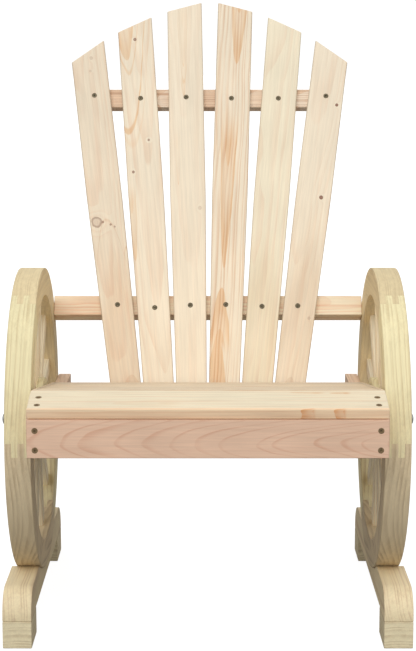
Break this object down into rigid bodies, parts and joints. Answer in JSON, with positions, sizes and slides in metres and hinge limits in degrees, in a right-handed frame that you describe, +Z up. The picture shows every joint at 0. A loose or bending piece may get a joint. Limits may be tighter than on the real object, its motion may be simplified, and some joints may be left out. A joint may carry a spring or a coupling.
{
  "type": "wooden armchair",
  "caption": "Wooden garden armchair with a fanned slat back, a slatted seat and spoked wagon wheels as its arms, standing on two base rails.",
  "frame": {"origin": "on the floor, under the middle of the bounding box", "axes": "+Z up; the chair faces -Y; +X is towards the wheel on the right as seen from the front"},
  "size_m": [0.577, 0.675, 0.9101],
  "materials": {
    "wheel_wood": "sanded, clear oiled pale softwood",
    "spoke_wood": "sanded, clear oiled pale softwood",
    "base_wood": "planed, clear oiled pale softwood",
    "seat_wood": "planed, clear oiled pale softwood",
    "apron_wood": "planed, clear oiled softwood, a little pinker than the rest",
    "back_wood": "planed, clear oiled pale softwood with orange heartwood",
    "zinc_steel": "zinc plated"
  },
  "bodies": {
    "root": {"apron": "apron_wood", "back_rail_lower": "back_wood", "back_rail_middle": "back_wood", "back_rail_top": "back_wood", "back_slat_1": "back_wood", "back_slat_2": "back_wood", "back_slat_3": "back_wood", "back_slat_4": "back_wood", "back_slat_5": "back_wood", "back_slat_6": "back_wood", "base_rail_left": "base_wood", "base_rail_right": "base_wood", "foot_front_left": "base_wood", "foot_front_right": "base_wood", "foot_rear_left": "base_wood", "foot_rear_right": "base_wood", "hub_left": "wheel_wood", "hub_right": "wheel_wood", "rim_bolt_front_left": "zinc_steel", "rim_bolt_front_right": "zinc_steel", "rim_bolt_rear_left": "zinc_steel", "rim_bolt_rear_right": "zinc_steel", "rim_left": "wheel_wood", "rim_nut_front_left": "zinc_steel", "rim_nut_front_right": "zinc_steel", "rim_nut_rear_left": "zinc_steel", "rim_nut_rear_right": "zinc_steel", "rim_right": "wheel_wood", "seat_slat_1": "seat_wood", "seat_slat_2": "seat_wood", "seat_slat_3": "seat_wood", "seat_slat_4": "seat_wood", "seat_slat_5": "seat_wood", "seat_slat_front": "seat_wood", "spoke_left_01": "spoke_wood", "spoke_left_02": "spoke_wood", "spoke_left_03": "spoke_wood", "spoke_left_04": "spoke_wood", "spoke_left_05": "spoke_wood", "spoke_left_06": "spoke_wood", "spoke_left_07": "spoke_wood", "spoke_left_08": "spoke_wood", "spoke_left_09": "spoke_wood", "spoke_left_10": "spoke_wood", "spoke_left_11": "spoke_wood", "spoke_left_12": "spoke_wood", "spoke_right_01": "spoke_wood", "spoke_right_02": "spoke_wood", "spoke_right_03": "spoke_wood", "spoke_right_04": "spoke_wood", "spoke_right_05": "spoke_wood", "spoke_right_06": "spoke_wood", "spoke_right_07": "spoke_wood", "spoke_right_08": "spoke_wood", "spoke_right_09": "spoke_wood", "spoke_right_10": "spoke_wood", "spoke_right_11": "spoke_wood", "spoke_right_12": "spoke_wood", "stringer_left": "seat_wood", "stringer_right": "seat_wood"}
  },
  "joints": []
}
